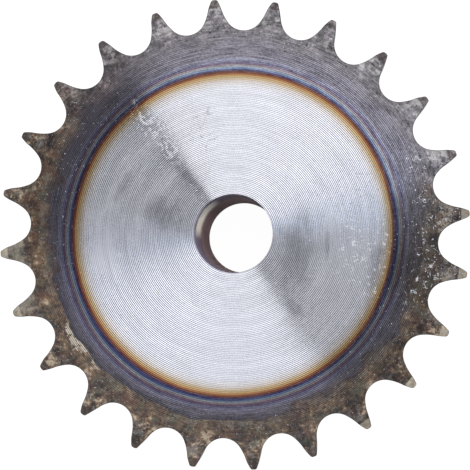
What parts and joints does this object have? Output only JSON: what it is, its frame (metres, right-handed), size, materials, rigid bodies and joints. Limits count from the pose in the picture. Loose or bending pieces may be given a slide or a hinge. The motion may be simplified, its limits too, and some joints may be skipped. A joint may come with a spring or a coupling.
{
  "type": "chain sprocket",
  "caption": "Simplex roller chain sprocket of turned steel, a flat toothed plate with a hub on one side and a plain through bore.",
  "frame": {"origin": "centre of the bore on the hub's face, which the part stands on", "axes": "+Z along the bore from the hub's face to the flat front face; +X through the middle of a tooth"},
  "size_m": [0.1028, 0.1028, 0.028],
  "materials": {
    "steel": "turned, with heat colours and a thin oxide film round the teeth"
  },
  "bodies": {
    "root": {"sprocket": "steel"}
  },
  "joints": []
}
